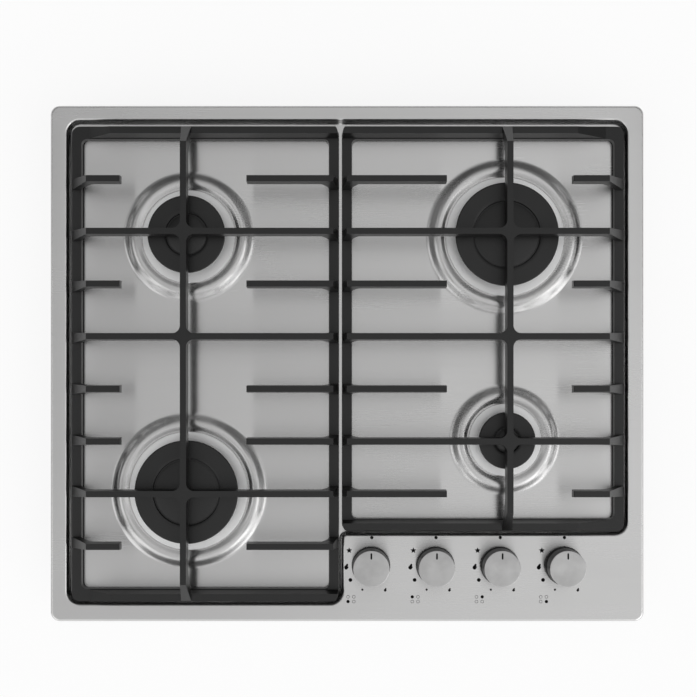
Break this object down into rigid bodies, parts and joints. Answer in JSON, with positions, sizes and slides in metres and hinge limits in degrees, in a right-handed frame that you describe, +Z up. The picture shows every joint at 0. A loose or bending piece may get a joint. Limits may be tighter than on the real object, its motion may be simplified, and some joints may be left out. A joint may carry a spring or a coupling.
{
  "type": "gas cooktop",
  "caption": "Built-in gas cooktop: steel plate with sunken L-shaped well, gas burners under cast-iron pan supports, and a row of turn-and-press knobs at the front right.",
  "frame": {"origin": "under the centre of the plate, at the underside of the burner box", "axes": "+X to the user's right, +Y to the rear, +Z up"},
  "size_m": [0.58, 0.504, 0.09],
  "materials": {
    "plate_steel": "brushed stainless sheet, grain from left to right",
    "box_steel": "galvanised sheet",
    "seal_foam": "black sealing foam",
    "grate_iron": "matt black enamelled cast iron",
    "foot_rubber": "black rubber",
    "burner_aluminium": "satin cast aluminium",
    "cap_enamel": "matt black enamel",
    "brass": "turned brass",
    "ceramic": "white technical ceramic",
    "probe_steel": "plain steel",
    "tap_aluminium": "die-cast",
    "spindle_steel": "turned steel",
    "knob_black": "matt black plastic",
    "knob_metal": "metal sleeve, brushed face",
    "ring_rubber": "black rubber",
    "switch_plastic": "pale plastic",
    "module_plastic": "black plastic",
    "clamp_steel": "zinc-plated steel"
  },
  "bodies": {
    "hob": {"top_plate": "plate_steel", "bottom_box": "box_steel", "rim_seal": "seal_foam", "burner_cup_rear_left": "burner_aluminium", "burner_cup_rear_right": "burner_aluminium", "burner_cup_front_left": "burner_aluminium", "burner_cup_front_right": "burner_aluminium", "injectors": "brass", "igniters": "ceramic", "thermocouple_rear_left": "probe_steel", "thermocouple_rear_right": "probe_steel", "thermocouple_front_left": "probe_steel", "thermocouple_front_right": "probe_steel", "tap_body_rear_left": "tap_aluminium", "tap_body_rear_right": "tap_aluminium", "tap_body_front_left": "tap_aluminium", "tap_body_front_right": "tap_aluminium", "gas_pipe_rear_left": "tap_aluminium", "gas_pipe_rear_right": "tap_aluminium", "gas_pipe_front_left": "tap_aluminium", "gas_pipe_front_right": "tap_aluminium", "knob_seals": "ring_rubber", "tap_rail": "box_steel", "ignition_switches": "switch_plastic", "gas_manifold": "clamp_steel", "gas_inlet_elbow": "brass", "ignition_module": "module_plastic", "terminal_block": "switch_plastic", "cable_gland": "module_plastic", "worktop_clamps": "clamp_steel", "screws": "clamp_steel"},
    "left_grate": {"left_grate": "grate_iron", "left_grate_feet": "foot_rubber"},
    "right_grate": {"right_grate": "grate_iron", "right_grate_feet": "foot_rubber"},
    "head_rear_left": {"burner_head_rear_left": "burner_aluminium"},
    "cap_rear_left": {"burner_cap_rear_left": "cap_enamel"},
    "head_rear_right": {"burner_head_rear_right": "burner_aluminium"},
    "cap_rear_right": {"burner_cap_rear_right": "cap_enamel"},
    "head_front_left": {"burner_head_front_left": "burner_aluminium"},
    "cap_front_left": {"burner_cap_front_left": "cap_enamel"},
    "head_front_right": {"burner_head_front_right": "burner_aluminium"},
    "cap_front_right": {"burner_cap_front_right": "cap_enamel"},
    "plug_front_left": {"tap_plug_front_left": "brass"},
    "knob_front_left": {"tap_spindle_front_left": "spindle_steel", "knob_base_front_left": "knob_black", "knob_sleeve_front_left": "knob_metal"},
    "plug_rear_left": {"tap_plug_rear_left": "brass"},
    "knob_rear_left": {"tap_spindle_rear_left": "spindle_steel", "knob_base_rear_left": "knob_black", "knob_sleeve_rear_left": "knob_metal"},
    "plug_rear_right": {"tap_plug_rear_right": "brass"},
    "knob_rear_right": {"tap_spindle_rear_right": "spindle_steel", "knob_base_rear_right": "knob_black", "knob_sleeve_rear_right": "knob_metal"},
    "plug_front_right": {"tap_plug_front_right": "brass"},
    "knob_front_right": {"tap_spindle_front_right": "spindle_steel", "knob_base_front_right": "knob_black", "knob_sleeve_front_right": "knob_metal"}
  },
  "joints": [
    {"name": "left_grate_lift", "type": "slide", "parent": "hob", "child": "left_grate", "axis": [0, 0, 1], "range_m": [0, 0.06]},
    {"name": "right_grate_lift", "type": "slide", "parent": "hob", "child": "right_grate", "axis": [0, 0, 1], "range_m": [0, 0.06]},
    {"name": "head_lift_rear_left", "type": "slide", "parent": "hob", "child": "head_rear_left", "axis": [0, 0, 1], "range_m": [0, 0.008]},
    {"name": "cap_lift_rear_left", "type": "slide", "parent": "head_rear_left", "child": "cap_rear_left", "axis": [0, 0, 1], "range_m": [0, 0.008]},
    {"name": "head_lift_rear_right", "type": "slide", "parent": "hob", "child": "head_rear_right", "axis": [0, 0, 1], "range_m": [0, 0.008]},
    {"name": "cap_lift_rear_right", "type": "slide", "parent": "head_rear_right", "child": "cap_rear_right", "axis": [0, 0, 1], "range_m": [0, 0.008]},
    {"name": "head_lift_front_left", "type": "slide", "parent": "hob", "child": "head_front_left", "axis": [0, 0, 1], "range_m": [0, 0.008]},
    {"name": "cap_lift_front_left", "type": "slide", "parent": "head_front_left", "child": "cap_front_left", "axis": [0, 0, 1], "range_m": [0, 0.008]},
    {"name": "head_lift_front_right", "type": "slide", "parent": "hob", "child": "head_front_right", "axis": [0, 0, 1], "range_m": [0, 0.008]},
    {"name": "cap_lift_front_right", "type": "slide", "parent": "head_front_right", "child": "cap_front_right", "axis": [0, 0, 1], "range_m": [0, 0.008]},
    {"name": "tap_turn_front_left", "type": "hinge", "parent": "hob", "child": "plug_front_left", "pos_m": [0.0232, -0.197, 0.024], "axis": [0, 0, 1], "range_deg": [0, 210]},
    {"name": "knob_press_front_left", "type": "slide", "parent": "plug_front_left", "child": "knob_front_left", "axis": [0, 0, -1], "range_m": [0, 0.003], "stiffness_N_per_m": 700, "springref_m": -0.006},
    {"name": "tap_turn_rear_left", "type": "hinge", "parent": "hob", "child": "plug_rear_left", "pos_m": [0.0859, -0.197, 0.024], "axis": [0, 0, 1], "range_deg": [0, 210]},
    {"name": "knob_press_rear_left", "type": "slide", "parent": "plug_rear_left", "child": "knob_rear_left", "axis": [0, 0, -1], "range_m": [0, 0.003], "stiffness_N_per_m": 700, "springref_m": -0.006},
    {"name": "tap_turn_rear_right", "type": "hinge", "parent": "hob", "child": "plug_rear_right", "pos_m": [0.1486, -0.197, 0.024], "axis": [0, 0, 1], "range_deg": [0, 210]},
    {"name": "knob_press_rear_right", "type": "slide", "parent": "plug_rear_right", "child": "knob_rear_right", "axis": [0, 0, -1], "range_m": [0, 0.003], "stiffness_N_per_m": 700, "springref_m": -0.006},
    {"name": "tap_turn_front_right", "type": "hinge", "parent": "hob", "child": "plug_front_right", "pos_m": [0.2113, -0.197, 0.024], "axis": [0, 0, 1], "range_deg": [0, 210]},
    {"name": "knob_press_front_right", "type": "slide", "parent": "plug_front_right", "child": "knob_front_right", "axis": [0, 0, -1], "range_m": [0, 0.003], "stiffness_N_per_m": 700, "springref_m": -0.006}
  ]
}
